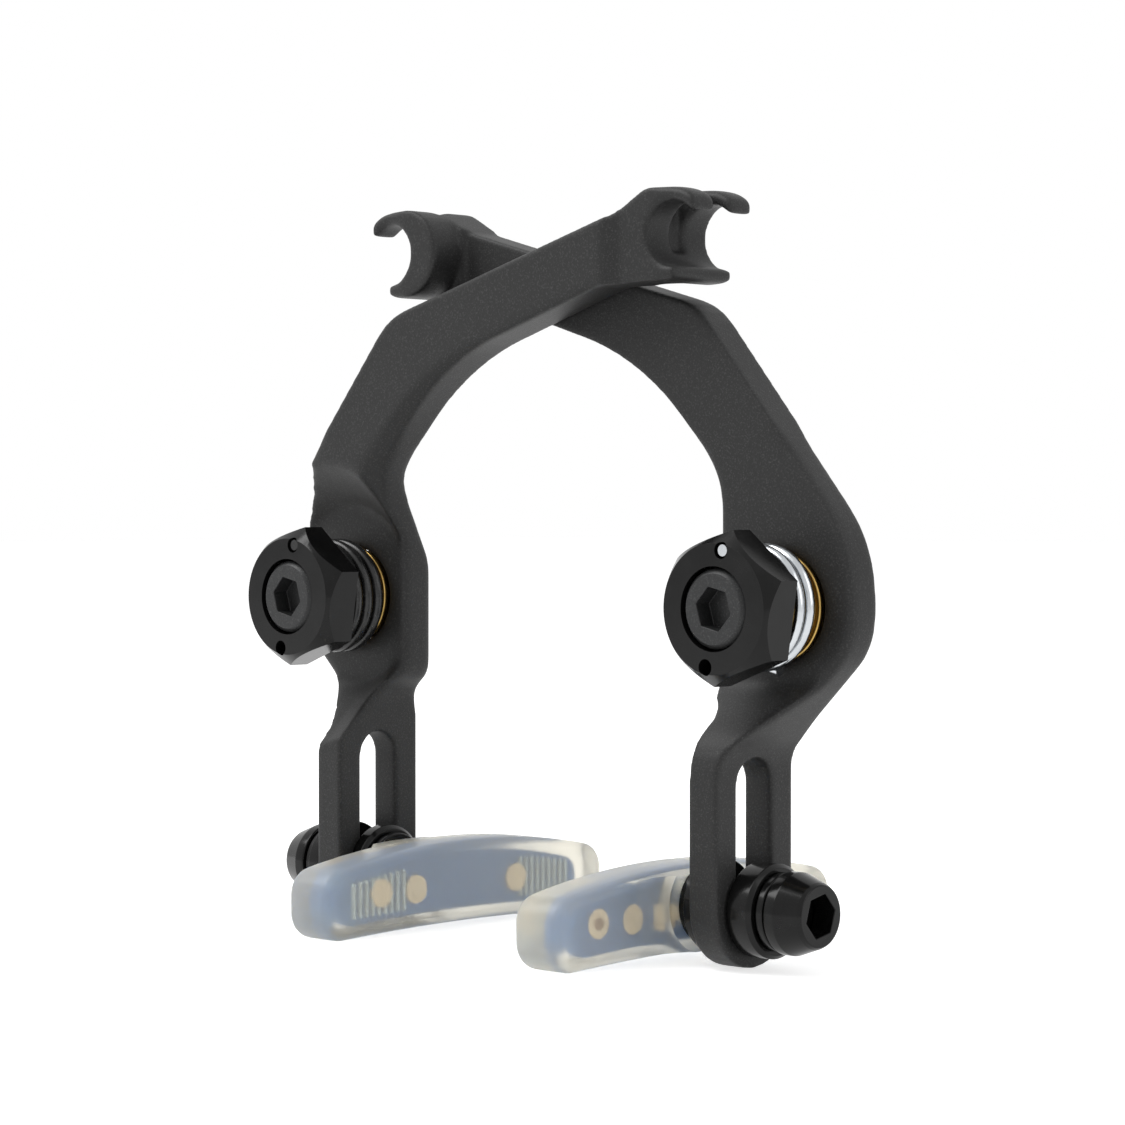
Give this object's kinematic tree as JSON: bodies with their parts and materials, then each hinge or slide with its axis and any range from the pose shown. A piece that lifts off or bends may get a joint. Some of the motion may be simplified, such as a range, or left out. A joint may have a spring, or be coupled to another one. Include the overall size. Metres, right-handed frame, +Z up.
{
  "type": "rim brake caliper",
  "caption": "Crossed-arm centre-pull rim brake caliper with pivot bushings, return springs, hexagon tension adjusters, cable hooks and clear brake pads on slotted legs.",
  "frame": {"origin": "midway between the two pivot axes, on the plane of the frame's bosses", "axes": "+X to the right seen from the front, +Y from the front towards the frame, along the pivots, +Z up towards the cable hooks"},
  "size_m": [0.102, 0.054, 0.0993],
  "materials": {
    "arm_anodised": "bead-blasted black anodised",
    "hardware_black": "gloss black",
    "bolt_phosphate": "dark phosphate",
    "bushing_brass": "turned",
    "spring_black": "black wire",
    "spring_zinc": "bright zinc wire",
    "pad_rubber": "clear moulded rubber",
    "pad_carrier": "moulded"
  },
  "bodies": {
    "frame_bolts": {"left_mounting_bolt": "bolt_phosphate", "right_mounting_bolt": "bolt_phosphate"},
    "left_arm": {"left_arm": "arm_anodised", "left_pivot_bushing": "bushing_brass"},
    "left_adjuster": {"left_adjuster_nut": "hardware_black", "left_spring": "spring_black"},
    "left_pad_clamp": {"left_inner_dome_washer": "hardware_black", "left_inner_cup_washer": "hardware_black", "left_outer_cup_washer": "hardware_black", "left_outer_dome_washer": "hardware_black", "left_pad_nut": "hardware_black"},
    "left_pad": {"left_pad_rubber": "pad_rubber", "left_pad_carrier": "pad_carrier", "left_pad_stud": "bolt_phosphate"},
    "right_arm": {"right_arm": "arm_anodised", "right_pivot_bushing": "bushing_brass"},
    "right_adjuster": {"right_adjuster_nut": "hardware_black", "right_spring": "spring_zinc"},
    "right_pad_clamp": {"right_inner_dome_washer": "hardware_black", "right_inner_cup_washer": "hardware_black", "right_outer_cup_washer": "hardware_black", "right_outer_dome_washer": "hardware_black", "right_pad_nut": "hardware_black"},
    "right_pad": {"right_pad_rubber": "pad_rubber", "right_pad_carrier": "pad_carrier", "right_pad_stud": "bolt_phosphate"}
  },
  "joints": [
    {"name": "left_arm_pivot", "type": "hinge", "parent": "frame_bolts", "child": "left_arm", "pos_m": [-0.0395, -0.0065, 0], "axis": [0, -1, 0], "range_deg": [0, 6.5], "stiffness_Nm_per_rad": 0.4, "springref_deg": -34.38},
    {"name": "left_adjuster_turn", "type": "hinge", "parent": "frame_bolts", "child": "left_adjuster", "pos_m": [-0.0395, -0.0171, 0], "axis": [0, -1, 0], "range_deg": [-45, 45]},
    {"name": "left_pad_slide", "type": "slide", "parent": "left_arm", "child": "left_pad_clamp", "axis": [0, 0, 1], "range_m": [0, 0.012]},
    {"name": "left_pad_turn", "type": "hinge", "parent": "left_pad_clamp", "child": "left_pad", "pos_m": [-0.037, -0.0085, -0.0382], "axis": [1, 0, 0], "range_deg": [-12, 12]},
    {"name": "right_arm_pivot", "type": "hinge", "parent": "frame_bolts", "child": "right_arm", "pos_m": [0.0395, -0.0065, 0], "axis": [0, 1, 0], "range_deg": [0, 6.5], "stiffness_Nm_per_rad": 0.4, "springref_deg": -34.38},
    {"name": "right_adjuster_turn", "type": "hinge", "parent": "frame_bolts", "child": "right_adjuster", "pos_m": [0.0395, -0.0171, 0], "axis": [0, -1, 0], "range_deg": [-45, 45]},
    {"name": "right_pad_slide", "type": "slide", "parent": "right_arm", "child": "right_pad_clamp", "axis": [0, 0, 1], "range_m": [0, 0.012]},
    {"name": "right_pad_turn", "type": "hinge", "parent": "right_pad_clamp", "child": "right_pad", "pos_m": [0.037, -0.0085, -0.0382], "axis": [1, 0, 0], "range_deg": [-12, 12]}
  ],
  "couplings": [
    {"joint": "right_arm_pivot", "follows": "left_arm_pivot", "ratio": 1}
  ]
}
